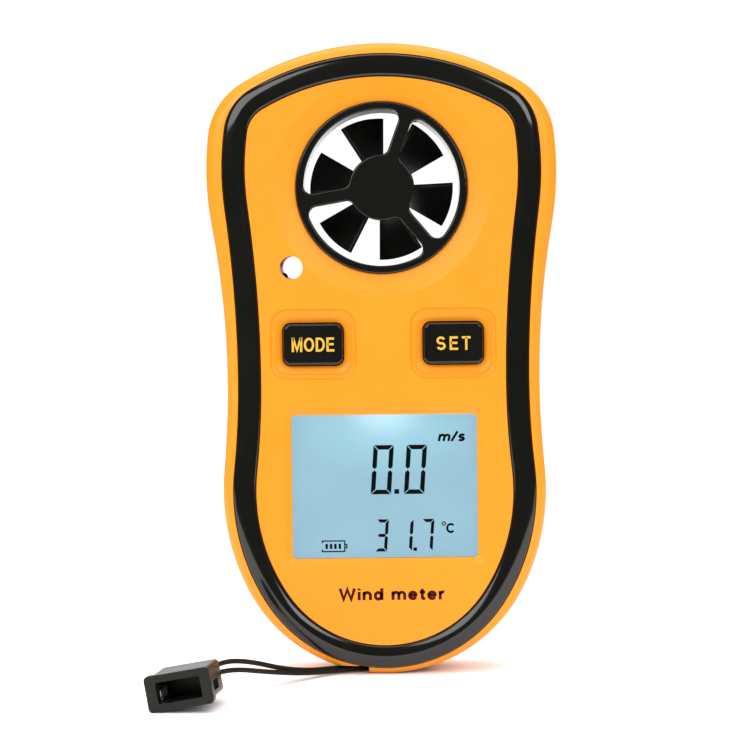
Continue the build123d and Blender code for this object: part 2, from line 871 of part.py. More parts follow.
def clip_parts():
    """The socket of the detachable clip and the piece that the cord is moulded into."""
    socket = clip_box(clip_width, clip_height, 0, clip_length, clip_corner)
    socket += clip_box(clip_flange_width, clip_flange_height, 0, clip_flange_length, clip_corner)
    socket -= clip_box(clip_mouth_width, clip_mouth_height, 0, clip_pocket, clip_mouth_corner)
    latch_length, latch_height = clip_window
    latch_y = clip_flange_length + clip_window_inset + latch_length / 2
    socket -= Pos(0, latch_y, -clip_window_drop) * Box(2 * clip_width, latch_length, latch_height)
    anchor = clip_box(anchor_width, anchor_height, clip_length, clip_length + anchor_length, anchor_corner)
    anchor = fillet(anchor.edges().group_by(Axis.Y)[-1], anchor_edge)
    socket, anchor = clip_pose(socket), clip_pose(anchor)
    lift = Pos(0, 0, -socket.bounding_box().min.Z)
    return lift * socket, lift * anchor


def cord_radii(points):
    """Arc radius at each inner point: 0.45 of the shorter run over the tangent of half the turn."""
    radii = []
    for before, here, after in zip(points, points[1:], points[2:]):
        first, second = Vector(here) - Vector(before), Vector(after) - Vector(here)
        turn = math.radians(first.get_angle(second))
        radii.append(0.45 * min(first.length, second.length) / math.tan(turn / 2))
    return radii


def lanyard_cord():
    radii = cord_radii(cord_route)
    print("cord radii:", " ".join(f"{radius:.1f}" for radius in radii))
    path = FilletPolyline(*cord_route, radius=radii)
    section = Plane(origin=path @ 0, z_dir=path % 0) * Circle(cord_radius)
    cord = sweep(section, path=path)
    expected = math.pi * cord_radius**2 * path.length
    print(f"cord length {path.length:.2f} mm, volume {cord.volume:.2f} of {expected:.2f} mm3")
    return cord


# ---------------------------------------------------------------- assembly
def lanyard_pin():
    span = 2 * (recess_half + recess_wall - pin_end_gap)
    return Pos(0, pin_y, parting) * Rot(0, 90, 0) * Cylinder(pin_radius, span)


def build():
    keep_placed("front_shell", front_shell())
    keep_placed("rear_shell", rear_shell())
    keep_placed("accent_band", accent_band())
    keep_placed("front_guard", guard(guard_front, 1, guard_opening, guard_hub, spoke_width))
    rear_spider = (rear_guard_opening, rear_guard_hub, rear_spoke_width)
    keep_placed("rear_guard", guard(guard_back, -1, *rear_spider))
    keep_placed("vane_duct", vane_duct())
    keep_placed("impeller", impeller())
    keep_placed("rotor_magnet", rotor_magnet())
    keep_placed("vane_shaft", vane_shaft())
    keep_placed("front_bearing", bush(bush_front - bush_length))
    keep_placed("rear_bearing", bush(bush_back))
    hall_body, hall_legs = hall_parts()
    keep_placed("hall_sensor", hall_body)
    keep_placed("hall_leads", hall_legs)
    bead, bead_leads = thermistor_parts()
    keep_placed("thermistor", bead)
    keep_placed("thermistor_leads", bead_leads)
    for name, x in (("mode", -button_x), ("set", button_x)):
        keep_placed(f"{name}_button", button(x))
        keep_placed(f"{name}_switch", switch(x))
        keep_placed(f"{name}_plunger", plunger(x))
    keep_placed("window_lens", window_lens())
    for name, solid in {**display_stack(), **board_parts()}.items():
        keep_placed(name, solid)
    keep_placed("circuit_board", circuit_board())
    keep_placed("coin_cell", disc(0, door_y, cell_radius, cell_back, cell_back + cell_height))
    keep_placed("positive_contact", positive_contact())
    keep_placed("negative_contact", negative_contact())
    keep_placed("battery_door", battery_door())
    keep_placed("case_screws", case_screws())
    keep_placed("board_screws", board_screws())
    keep_placed("lanyard_pin", lanyard_pin())
    socket, anchor = clip_parts()
    keep("clip_socket", socket)
    keep("clip_anchor", anchor)
    keep("lanyard_cord", lanyard_cord())


def main():
    os.makedirs("parts", exist_ok=True)
    build()
    for name, solid in NODES.items():
        export_step(solid, f"parts/{name}.step")
    print(len(NODES), "nodes")


main()
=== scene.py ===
"""Looks of the pocket vane anemometer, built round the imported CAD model. Everything is in metres."""
import math

import bmesh
import bpy
from mathutils import Matrix, Vector


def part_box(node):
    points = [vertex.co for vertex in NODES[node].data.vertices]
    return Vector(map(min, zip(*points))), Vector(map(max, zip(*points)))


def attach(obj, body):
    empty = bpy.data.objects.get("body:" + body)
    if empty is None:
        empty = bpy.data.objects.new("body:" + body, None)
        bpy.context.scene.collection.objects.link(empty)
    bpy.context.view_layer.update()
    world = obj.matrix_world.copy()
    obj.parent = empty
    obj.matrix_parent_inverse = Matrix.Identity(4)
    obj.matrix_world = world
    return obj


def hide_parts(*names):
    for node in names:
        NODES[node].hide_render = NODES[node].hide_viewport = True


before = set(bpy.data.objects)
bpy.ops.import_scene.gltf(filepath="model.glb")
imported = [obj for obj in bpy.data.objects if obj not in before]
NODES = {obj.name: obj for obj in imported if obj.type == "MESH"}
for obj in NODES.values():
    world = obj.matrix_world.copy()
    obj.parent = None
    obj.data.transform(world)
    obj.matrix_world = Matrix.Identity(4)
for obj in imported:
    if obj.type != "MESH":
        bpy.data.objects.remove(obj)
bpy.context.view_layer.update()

MM = 0.001
SCENE = bpy.context.scene

# Lanyard cord: from the clip, over the table, round the pin in the lower end and back to the clip
CORD_DIAMETER = 0.8 * MM
CORD_ROUTE = [
    (-0.02670, -0.03160, 0.00515),
    (-0.02630, -0.02940, 0.00530),
    (-0.02410, -0.02650, 0.00535),
    (-0.02090, -0.02240, 0.00440),
    (-0.01690, -0.01690, 0.00255),
    (-0.01290, -0.01140, 0.00135),
    (-0.00930, -0.00710, 0.00100),
    (-0.00620, -0.00440, 0.00088),
    (-0.00370, -0.00260, 0.00085),
    (-0.00195, -0.00090, 0.00115),
    (-0.00155, 0.00172, 0.00138),
    (-0.00130, 0.00172, 0.00382),
    (-0.00090, -0.00072, 0.00382),
    (-0.00085, -0.00080, 0.00190),
    (-0.00160, -0.00240, 0.00095),
    (-0.00330, -0.00395, 0.00060),
    (-0.00560, -0.00515, 0.00060),
    (-0.00830, -0.00700, 0.00062),
    (-0.01120, -0.01010, 0.00080),
    (-0.01490, -0.01520, 0.00150),
    (-0.01940, -0.02140, 0.00275),
    (-0.02320, -0.02660, 0.00395),
    (-0.02570, -0.02940, 0.00410),
    (-0.02690, -0.03155, 0.00400),
]

# Accent band: points round it and across it, height of its dome and of its rounded edges
BAND_STEPS = 420
BAND_ACROSS = 26
BAND_CROWN = 0.50 * MM
BAND_EDGE = 0.22 * MM
BAND_EDGE_POWER = 22

# Display image, millimetres about the window's middle
SHEET_SIZE = (31.2, 24.4)
SHEET_LIFT = 0.06 * MM
INK_LIFT = 0.09 * MM
DIGIT_SLANT = math.tan(math.radians(4.0))
LARGE_DIGIT = (3.35, 8.1, 0.74, 0.09)
LARGE_DIGITS = [("0", -2.34, -1.45), ("0", 3.12, -1.45)]
LARGE_POINT = (1.55, -1.40, 0.80, 0.76)
SMALL_DIGIT = (2.0, 5.3, 0.52, 0.08)
SMALL_DIGITS = [("3", -1.75, -10.9), ("1", 2.35, -10.9), ("7", 5.75, -10.9)]
SMALL_POINT = (4.6, -10.85, 0.58, 0.56)
BATTERY_AT = (-10.5, -10.93)
SPEED_UNIT = ("m/s", 10.95, 8.0, 4.35, 1.6, 0.40, 0.14, 0.24)
DEGREE_LETTER = ("C", 10.75, -7.15, 1.4, 1.6, 0.36, 0.0)
DEGREE_RING_AT = (9.65, -6.4)
DEGREE_RING_RADIUS = 0.27
DEGREE_RING_LINE = 0.18

# Printed words, millimetres: button or body, text, width, capital height, gap between letters
PRINT_LIFT = 0.012 * MM
BUTTON_STROKE = 0.37
BUTTON_WORDS = [("mode", "MODE", 6.9, 2.35, 0.16), ("set", "SET", 5.6, 2.25, 0.34)]
TITLE = ("Wind meter", 0, 0, 17.4, 1.95, 0.50, 0.15)

# Soft boxes aimed at the meter: name, place, width and height, watts
AIM = (0.0, 0.0, 0.05)
SOFT_BOXES = [
    ("top_light", (0.0, 0.05, 0.9), (0.9, 0.9), 6.0),
    ("left_box", (-0.38, -0.60, 0.42), (0.50, 0.46), 2.9),
    ("right_box", (0.34, -0.62, 0.36), (0.24, 0.34), 1.3),
    ("back_card", (0.1, 1.1, 0.42), (1.6, 0.8), 4.8),
]
SURROUND_STRENGTH = 1.06

# Middle of the printed title on the front face, across and up
TITLE_AT = (0.0010, 0.0133)

# White table: left, right, near and far edges
FLOOR_EDGES = (-0.40, 0.40, -0.11, 0.50)

# Camera: near the middle of the meter's height, a long lens 0.45 m off, tilted down a little
CAMERA_AT = Vector((0.0003, -0.450, 0.0677))
CAMERA_LENS = 130.0
CAMERA_YAW = math.radians(0.22)
CAMERA_TILT = math.radians(-2.39)
CAMERA_ROLL = math.radians(-0.65)


# ---------------------------------------------------------------- camera, stage and light
def make_camera():
    data = bpy.data.cameras.new("camera")
    data.lens = CAMERA_LENS
    data.sensor_width = 36.0
    data.clip_start = 0.01
    data.clip_end = 100.0
    camera = bpy.data.objects.new("camera", data)
    SCENE.collection.objects.link(camera)
    turn = Matrix.Rotation(CAMERA_YAW, 4, "Z") @ Matrix.Rotation(math.pi / 2 + CAMERA_TILT, 4, "X")
    camera.matrix_world = Matrix.Translation(CAMERA_AT) @ turn @ Matrix.Rotation(CAMERA_ROLL, 4, "Z")
    SCENE.camera = camera


def area_light(name, place, target, size, power):
    data = bpy.data.lights.new(name, "AREA")
    data.shape = "RECTANGLE"
    data.size, data.size_y = size
    data.energy = power
    light = bpy.data.objects.new(name, data)
    SCENE.collection.objects.link(light)
    light.location = place
    light.rotation_euler = (Vector(target) - Vector(place)).to_track_quat("-Z", "Y").to_euler()


def make_stage():
    """White table and even white surround; the gloss reflects the soft boxes but not the surround."""
    SCENE.view_settings.view_transform = "Standard"
    world = bpy.data.worlds.new("studio")
    world.use_nodes = True
    background = world.node_tree.nodes["Background"]
    background.inputs["Color"].default_value = (1.0, 1.0, 1.0, 1.0)
    background.inputs["Strength"].default_value = SURROUND_STRENGTH
    SCENE.world = world
    world.cycles_visibility.glossy = False
    for name, place, size, power in SOFT_BOXES:
        area_light(name, place, AIM, size, power)

    mesh = bpy.data.meshes.new("floor")
    left, right, near, far = FLOOR_EDGES
    corners = [(left, near, 0), (right, near, 0), (right, far, 0), (left, far, 0)]
    mesh.from_pydata(corners, [], [(0, 1, 2, 3)])
    floor = bpy.data.objects.new("floor", mesh)
    SCENE.collection.objects.link(floor)
    floor.data.materials.append(plain_floor())


# ---------------------------------------------------------------- materials
class Nodes:
    """A material's node tree, with short calls for the nodes used here."""

    def __init__(self, name):
        self.material = bpy.data.materials.new(name)
        self.material.use_nodes = True
        self.tree = self.material.node_tree
        self.shader = self.tree.nodes["Principled BSDF"]

    def add(self, kind, **settings):
        node = self.tree.nodes.new(kind)
        for key, value in settings.items():
            setattr(node, key, value)
        return node

    def link(self, source, target):
        self.tree.links.new(source, target)

    def noise(self, scale, detail=3.0, roughness=0.55, stretch=(1.0, 1.0, 1.0)):
        """Noise in the object's own metres."""
        place = self.add("ShaderNodeTexCoord")
        mapping = self.add("ShaderNodeMapping")
        mapping.inputs["Scale"].default_value = stretch
        texture = self.add("ShaderNodeTexNoise")
        texture.inputs["Scale"].default_value = scale
        texture.inputs["Detail"].default_value = detail
        texture.inputs["Roughness"].default_value = roughness
        self.link(place.outputs["Object"], mapping.inputs["Vector"])
        self.link(mapping.outputs["Vector"], texture.inputs["Vector"])
        return texture.outputs["Fac"]

    def ramp(self, factor, stops):
        node = self.add("ShaderNodeValToRGB")
        elements = node.color_ramp.elements
        while len(elements) < len(stops):
            elements.new(0.5)
        for element, (position, colour) in zip(elements, stops):
            element.position = position
            element.color = (*colour, 1.0)
        self.link(factor, node.inputs["Fac"])
        return node.outputs["Color"]

    def span(self, factor, low, high):
        node = self.add("ShaderNodeMapRange")
        node.inputs["To Min"].default_value = low
        node.inputs["To Max"].default_value = high
        self.link(factor, node.inputs["Value"])
        return node.outputs["Result"]

    def bump(self, height, distance, strength=1.0):
        node = self.add("ShaderNodeBump")
        node.inputs["Distance"].default_value = distance
        node.inputs["Strength"].default_value = strength
        self.link(height, node.inputs["Height"])
        self.link(node.outputs["Normal"], self.shader.inputs["Normal"])

    def set(self, **values):
        for key, value in values.items():
            self.shader.inputs[key.replace("_", " ")].default_value = value


def tone(colour, factor):
    return tuple(min(1.0, channel * factor) for channel in colour)


def moulded(name, colour, roughness, grain=0.004, variation=0.06, **values):
    """Moulded plastic: slow drifts of tone and gloss, and a very fine surface grain."""
    nodes = Nodes(name)
    slow = nodes.noise(60.0, 2.0)
    fine = nodes.noise(5200.0, 2.0)
    stops = [(0.3, tone(colour, 1 - variation)), (0.7, tone(colour, 1 + variation))]
    nodes.link(nodes.ramp(slow, stops), nodes.shader.inputs["Base Color"])
    smears = nodes.noise(240.0, 4.0)
    nodes.link(nodes.span(smears, roughness * 0.8, roughness * 1.2), nodes.shader.inputs["Roughness"])
    nodes.bump(fine, grain * MM)
    nodes.set(**values)
    return nodes.material


def metal(name, colour, roughness, stretch=(1.0, 1.0, 1.0)):
    """Turned or rolled metal with fine directional marks."""
    nodes = Nodes(name)
    marks = nodes.noise(1500.0, 4.0, stretch=stretch)
    stops = [(0.25, tone(colour, 0.86)), (0.75, tone(colour, 1.06))]
    nodes.link(nodes.ramp(marks, stops), nodes.shader.inputs["Base Color"])
    nodes.link(nodes.span(marks, roughness * 0.7, roughness * 1.4), nodes.shader.inputs["Roughness"])
    nodes.bump(marks, 0.004 * MM)
    nodes.set(Metallic=1.0)
    return nodes.material


def plain_floor():
    nodes = Nodes("floor_paper")
    nodes.set(Base_Color=(0.93, 0.93, 0.93, 1.0), Roughness=0.9)
    nodes.shader.inputs["Specular IOR Level"].default_value = 0.1
    return nodes.material


def cord_fabric():
    """Thin braided cord: two crossing sets of strands."""
    nodes = Nodes("cord_braid")
    place = nodes.add("ShaderNodeTexCoord")
    waves = []
    for angle in (35.0, -35.0):
        mapping = nodes.add("ShaderNodeMapping")
        mapping.inputs["Rotation"].default_value = (0.0, 0.0, math.radians(angle))
        wave = nodes.add("ShaderNodeTexWave", wave_type="BANDS")
        wave.inputs["Scale"].default_value = 900.0
        wave.inputs["Distortion"].default_value = 1.5
        nodes.link(place.outputs["Object"], mapping.inputs["Vector"])
        nodes.link(mapping.outputs["Vector"], wave.inputs["Vector"])
        waves.append(wave.outputs["Fac"])
    both = nodes.add("ShaderNodeMath", operation="MAXIMUM")
    nodes.link(waves[0], both.inputs[0])
    nodes.link(waves[1], both.inputs[1])
    stops = [(0.2, (0.002, 0.002, 0.002)), (0.9, (0.008, 0.0075, 0.007))]
    nodes.link(nodes.ramp(both.outputs[0], stops), nodes.shader.inputs["Base Color"])
    nodes.bump(both.outputs[0], 0.05 * MM)
    nodes.set(Roughness=0.7, Specular_IOR_Level=0.3)
    return nodes.material


def display_glow(centre, half_width, top):
    """The lit display: pale blue, brightest under the lamp at the middle of its upper edge."""
    nodes = Nodes("display_glow")
    place = nodes.add("ShaderNodeTexCoord")
    mapping = nodes.add("ShaderNodeMapping", vector_type="POINT")
    mapping.inputs["Location"].default_value = (-centre.x / half_width, 0.0, -top / half_width * 1.35)
    mapping.inputs["Scale"].default_value = (1.0 / half_width, 0.0, 1.35 / half_width)
    distance = nodes.add("ShaderNodeVectorMath", operation="LENGTH")
    nodes.link(place.outputs["Object"], mapping.inputs["Vector"])
    nodes.link(mapping.outputs["Vector"], distance.inputs[0])
    stops = [
        (0.0, (0.80, 0.97, 1.0)), (0.2, (0.55, 0.86, 0.98)), (0.45, (0.35, 0.64, 0.76)),
        (0.75, (0.31, 0.58, 0.69)), (1.0, (0.30, 0.52, 0.64)),
    ]
    glow = nodes.ramp(distance.outputs["Value"], stops)
    cloud = nodes.ramp(nodes.noise(90.0, 2.0), [(0.35, (0.93, 0.95, 0.97)), (0.65, (1.0, 1.0, 1.0))])
    mixed = nodes.add("ShaderNodeMix", data_type="RGBA", blend_type="MULTIPLY")
    mixed.inputs["Factor"].default_value = 1.0
    nodes.link(glow, mixed.inputs["A"])
    nodes.link(cloud, mixed.inputs["B"])
    nodes.link(mixed.outputs["Result"], nodes.shader.inputs["Emission Color"])
    nodes.set(Base_Color=(0.02, 0.03, 0.035, 1.0), Roughness=0.5, Emission_Strength=1.0)
    return nodes.material


def clear_acrylic():
    nodes = Nodes("window_acrylic")
    smears = nodes.noise(300.0, 3.0)
    nodes.link(nodes.span(smears, 0.01, 0.04), nodes.shader.inputs["Roughness"])
    nodes.set(Base_Color=(0.97, 0.985, 1.0, 1.0), Transmission_Weight=1.0, IOR=1.25)
    return nodes.material


ORANGE = (0.78, 0.254, 0.005)
BLACK = (0.0065, 0.0065, 0.0055)


def make_materials():
    black_gloss = moulded("black_gloss", BLACK, 0.12, grain=0.0006, variation=0.15)
    band_gloss = moulded("band_gloss", BLACK, 0.10, grain=0.0004, variation=0.15, Specular_IOR_Level=0.55)
    clip_gloss = moulded("clip_gloss", tone(BLACK, 2.2), 0.24, grain=0.003, variation=0.3,
                         Specular_IOR_Level=0.14)
    satin_black = moulded("black_satin", BLACK, 0.35, grain=0.003, variation=0.15, Specular_IOR_Level=0.3)
    orange = moulded("orange_plastic", ORANGE, 0.36, grain=0.002, variation=0.015, Specular_IOR_Level=0.35)
    steel = metal("steel", (0.60, 0.60, 0.59), 0.28)
    gold = metal("gilt_contact", (0.78, 0.58, 0.28), 0.3)
    chip = moulded("chip_resin", (0.016, 0.016, 0.018), 0.45)
    return {
        "front_shell": orange, "rear_shell": orange, "battery_door": orange,
        "accent_band": band_gloss, "front_guard": black_gloss, "rear_guard": satin_black,
        "vane_duct": black_gloss, "impeller": satin_black,
        "mode_button": black_gloss, "set_button": black_gloss,
        "clip_socket": clip_gloss, "clip_anchor": clip_gloss,
        "window_lens": clear_acrylic(),
        "lcd_panel": moulded("lcd_glass", (0.35, 0.45, 0.47), 0.12),
        "lcd_frame": moulded("white_frame", (0.75, 0.75, 0.72), 0.5),
        "backlight_guide": moulded("light_guide", (0.62, 0.74, 0.80), 0.3),
        "backlight_led": moulded("lamp_resin", (0.80, 0.78, 0.55), 0.25),
        "zebra_strip": moulded("conductive_rubber", (0.09, 0.09, 0.10), 0.7),
        "circuit_board": moulded("solder_mask", (0.012, 0.11, 0.035), 0.3, variation=0.3),
        "main_chip": chip, "resistors": chip, "hall_sensor": chip,
        "clock_crystal": steel, "mode_switch": steel, "set_switch": steel,
        "mode_plunger": satin_black, "set_plunger": satin_black,
        "capacitors": moulded("capacitor_body", (0.36, 0.22, 0.09), 0.5),
        "coin_cell": metal("cell_steel", (0.66, 0.66, 0.64), 0.22),
        "positive_contact": gold, "negative_contact": gold,
        "case_screws": metal("screw_zinc", (0.55, 0.55, 0.54), 0.33), "board_screws": steel,
        "vane_shaft": metal("shaft_steel", (0.68, 0.68, 0.68), 0.15),
        "front_bearing": metal("bearing_bronze", (0.55, 0.33, 0.13), 0.35),
        "rear_bearing": metal("bearing_bronze_rear", (0.55, 0.33, 0.13), 0.35),
        "rotor_magnet": moulded("sintered_magnet", (0.10, 0.10, 0.105), 0.5),
        "hall_leads": gold, "thermistor_leads": gold,
        "thermistor": moulded("bead_epoxy", BLACK, 0.25),
        "lanyard_pin": metal("pin_steel", (0.62, 0.62, 0.62), 0.2),
    }


def dress(node, material):
    """Puts a material on a CAD node in place of its own."""
    mesh = NODES[node].data
    mesh.materials.clear()
    mesh.materials.append(material)


# ---------------------------------------------------------------- pieces
def make_cord():
    curve = bpy.data.curves.new("lanyard_braid", "CURVE")
    curve.dimensions = "3D"
    curve.bevel_depth = CORD_DIAMETER / 2
    curve.bevel_resolution = 6
    curve.resolution_u = 12
    curve.use_fill_caps = True
    spline = curve.splines.new("NURBS")
    spline.points.add(len(CORD_ROUTE) - 1)
    for point, place in zip(spline.points, CORD_ROUTE):
        point.co = (*place, 1.0)
    spline.order_u = 3
    spline.use_endpoint_u = True
    cord = bpy.data.objects.new("lanyard_braid", curve)
    SCENE.collection.objects.link(cord)
    curve.materials.append(cord_fabric())
    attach(cord, "meter")
    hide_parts("lanyard_cord")


def mesh_piece(name, mesh, body, material):
    piece = bpy.data.objects.new(name, mesh)
    SCENE.collection.objects.link(piece)
    mesh.materials.append(material)
    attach(piece, body)
    return piece


def arc(x, y, across, up, start, end, steps=14):
    """Points on an ellipse between two angles in degrees."""
    angles = [math.radians(start + (end - start) * i / steps) for i in range(steps + 1)]
    return [(x + across * math.cos(angle), y + up * math.sin(angle)) for angle in angles]


# Strokes of each letter about its centre lines, in capital heights, after its width
LETTERS = {
    "M": (0.98, [[(0.1, 0), (0.1, 1)], [(0.88, 0), (0.88, 1)], [(0.14, 0.97), (0.49, 0.12), (0.84, 0.97)]]),
    "O": (0.96, [arc(0.48, 0.5, 0.38, 0.41, 0, 360, 24)]),
    "D": (0.84, [[(0.1, 0.5), (0.1, 0.91), *arc(0.36, 0.5, 0.38, 0.41, 90, -90), (0.1, 0.09), (0.1, 0.5)]]),
    "E": (0.72, [[(0.72, 0.91), (0.1, 0.91), (0.1, 0.09), (0.74, 0.09)], [(0.1, 0.52), (0.68, 0.52)]]),
    "S": (0.80, [[*arc(0.40, 0.70, 0.29, 0.21, 20, 250, 12), *arc(0.41, 0.30, 0.30, 0.21, 70, -160, 12)]]),
    "T": (0.76, [[(0, 0.91), (0.76, 0.91)], [(0.38, 0.91), (0.38, 0)]]),
    "W": (1.20, [[(0.08, 1), (0.33, 0.08), (0.60, 0.92), (0.87, 0.08), (1.12, 1)]]),
    "C": (0.86, [arc(0.46, 0.5, 0.37, 0.41, 42, 318, 20)]),
    "i": (0.20, [[(0.1, 0), (0.1, 0.72)], [(0.1, 0.83), (0.1, 1)]]),
    "n": (0.66, [[(0.1, 0), (0.1, 0.72)], [*arc(0.33, 0.40, 0.23, 0.24, 180, 0), (0.56, 0)]]),
    "d": (0.68, [arc(0.32, 0.36, 0.22, 0.28, 0, 360, 20), [(0.58, 0), (0.58, 1)]]),
    "m": (1.04, [[(0.1, 0), (0.1, 0.72)], [*arc(0.31, 0.41, 0.21, 0.23, 180, 0), (0.52, 0)],
                 [*arc(0.73, 0.41, 0.21, 0.23, 180, 0), (0.94, 0)]]),
    "e": (0.68, [[(0.12, 0.37), (0.56, 0.37), *arc(0.34, 0.36, 0.24, 0.28, 10, 330, 18)]]),
    "t": (0.40, [[(0.19, 0.92), (0.19, 0.22), *arc(0.29, 0.19, 0.10, 0.10, 180, 270, 5), (0.40, 0.09)],
                 [(0, 0.64), (0.40, 0.64)]]),
    "r": (0.46, [[(0.1, 0), (0.1, 0.72)], arc(0.34, 0.38, 0.24, 0.26, 175, 75, 8)]),
    "s": (0.60, [[*arc(0.31, 0.51, 0.20, 0.14, 25, 250, 10), *arc(0.31, 0.22, 0.21, 0.14, 70, -155, 10)]]),
    "/": (0.40, [[(0.03, 0), (0.37, 1)]]),
    " ": (0.30, []),
}


def ribbon(points, width):
    """A line of points drawn out to a width, as four-cornered shapes with mitred joints."""
    points = [Vector(point) for point in points]
    closed = (points[0] - points[-1]).length < 1e-6
    sides = []
    for i, point in enumerate(points):
        before = points[i - 1] if i else (points[-2] if closed else None)
        after = points[i + 1] if i < len(points) - 1 else (points[1] if closed else None)
        ahead = (after - point).normalized() if after else (point - before).normalized()
        behind = (point - before).normalized() if before else ahead
        middle = (ahead + behind).normalized()
        reach = width / 2 / max(middle.dot(ahead), 0.45)
        sides.append((point + Vector((-middle.y, middle.x)) * reach,
                      point - Vector((-middle.y, middle.x)) * reach))
    return [[(*a,), (*b,), (*d,), (*c,)] for (a, b), (c, d) in zip(sides, sides[1:])]


def lettering(text, x, y, width, cap, stroke, gap, slant=0.0):
    """Shapes of a word centred on a point, fitted to a width and a capital height in millimetres."""
    natural = sum(LETTERS[letter][0] for letter in text) + gap * (len(text) - 1)
    scale = width / natural
    shapes = []
    left = x - width / 2
    for letter in text:
        advance, strokes = LETTERS[letter]
        for points in strokes:
            placed = [(left + px * scale + py * cap * slant, y + (py - 0.5) * cap) for px, py in points]
            shapes += ribbon(placed, stroke)
        left += (advance + gap) * scale
    return shapes


def ring_loops(mesh, level):
    """Outer and inner outline of the flat ring of faces at the highest y, as lists of points."""
    work = bmesh.new()
    work.from_mesh(mesh)
    near = 0.001 * MM
    bmesh.ops.remove_doubles(work, verts=work.verts, dist=near)
    flat = {face for face in work.faces if all(abs(vertex.co.y - level) < near for vertex in face.verts)}
    following = {}
    for edge in work.edges:
        if sum(face in flat for face in edge.link_faces) == 1:
            for vertex, other in (edge.verts, reversed(edge.verts)):
                following.setdefault(vertex, []).append(other)
    loops = []
    while following:
        start = next(iter(following))
        loop, here = [], start
        while here in following:
            loop.append(here.co.copy())
            ahead = [vertex for vertex in following.pop(here) if vertex in following]
            here = ahead[0] if ahead else start
        loops.append(loop)
    work.free()
    return sorted(loops, key=lambda loop: -max(point.x for point in loop))


def resampled(loop, count):
    """Evenly spaced points and unit tangents along a smooth closed curve through a loop of points."""
    points = [Vector((point.x, point.z)) for point in loop]
    fine = []
    steps = 12
    for i in range(len(points)):
        a, b, c, d = (points[(i + k) % len(points)] for k in (-1, 0, 1, 2))
        leave = (c - a) * ((c - b).length / max((c - b).length + (b - a).length, 1e-9))
        arrive = (d - b) * ((c - b).length / max((d - c).length + (c - b).length, 1e-9))
        for k in range(steps):
            t = k / steps
            fine.append((2 * t**3 - 3 * t**2 + 1) * b + (t**3 - 2 * t**2 + t) * leave
                        + (3 * t**2 - 2 * t**3) * c + (t**3 - t**2) * arrive)
    total = [0.0]
    for i in range(len(fine)):
        total.append(total[-1] + (fine[(i + 1) % len(fine)] - fine[i]).length)
    even = []
    index = 0
    for k in range(count):
        target = total[-1] * k / count
        while total[index + 1] < target:
            index += 1
        share = (target - total[index]) / max(total[index + 1] - total[index], 1e-12)
        even.append(fine[index].lerp(fine[(index + 1) % len(fine)], share))
    tangents = [(even[(i + 1) % count] - even[i - 1]).normalized() for i in range(count)]
    return even, tangents


def make_band(material):
    """The accent band again, with one smooth crown from edge to edge."""
    low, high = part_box("accent_band")
    outer, inner = ring_loops(NODES["accent_band"].data, high.y)
    width = max(point.x for point in outer) - max(point.x for point in inner)
    start = high.y - low.y - BAND_CROWN - BAND_EDGE
    points, tangents = resampled(outer, BAND_STEPS)
    centre = Vector((0.0, (low.z + high.z) / 2))
    profile = [(0.0, 0.0)]
    for k in range(BAND_ACROSS + 1):
        u = 0.5 - 0.5 * math.cos(math.pi * k / BAND_ACROSS)
        off = abs(2 * u - 1)
        rise = BAND_CROWN * (1 - off**2) + BAND_EDGE * (1 - off**BAND_EDGE_POWER)
        profile.append((u * width, start + rise))
    profile.append((width, 0.0))
    work = bmesh.new()
    rows = []
    for point, tangent in zip(points, tangents):
        inward = Vector((-tangent.y, tangent.x))
        if inward.dot(centre - point) < 0:
            inward.negate()
        places = [(point + inward * u, high.y - v) for u, v in profile]
        rows.append([work.verts.new((spot.x, y, spot.y)) for spot, y in places])
    for i in range(BAND_STEPS):
        first, second = rows[i], rows[(i + 1) % BAND_STEPS]
        for k in range(len(profile)):
            j = (k + 1) % len(profile)
            work.faces.new([first[k], first[j], second[j], second[k]])
    bmesh.ops.recalc_face_normals(work, faces=work.faces)
    mesh = bpy.data.meshes.new("band_crown")
    work.to_mesh(mesh)
    work.free()
    mesh.shade_smooth()
    band = mesh_piece("band_crown", mesh, "meter", material)
    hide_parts("accent_band")


SEGMENTS = {"0": "abcdef", "1": "bc", "3": "abcdg", "7": "abc"}


def segment_shapes(width, height, stroke, gap):
    """Outlines of the seven segments, from the digit's lower left corner."""
    mid, half = height / 2, stroke / 2
    shapes = {
        "a": [(gap, height), (width - gap, height), (width - stroke - gap, height - stroke),
              (stroke + gap, height - stroke)],
        "f": [(0, height - gap), (stroke, height - stroke - gap), (stroke, mid + half + gap / 2),
              (half, mid + gap), (0, mid + half + gap)],
        "g": [(half + gap, mid), (stroke + gap / 2, mid + half), (width - stroke - gap / 2, mid + half),
              (width - half - gap, mid), (width - stroke - gap / 2, mid - half),
              (stroke + gap / 2, mid - half)],
    }
    shapes["d"] = [(x, height - y) for x, y in reversed(shapes["a"])]
    shapes["e"] = [(x, height - y) for x, y in reversed(shapes["f"])]
    shapes["b"] = [(width - x, y) for x, y in reversed(shapes["f"])]
    shapes["c"] = [(width - x, y) for x, y in reversed(shapes["e"])]
    return shapes


def rectangle(x, y, width, height):
    return [(x, y), (x, y + height), (x + width, y + height), (x + width, y)]


def digit(character, x, y, width, height, stroke, gap, slant):
    shapes = segment_shapes(width, height, stroke, gap)
    return [[(x + px + py * slant, y + py) for px, py in shapes[key]] for key in SEGMENTS[character]]


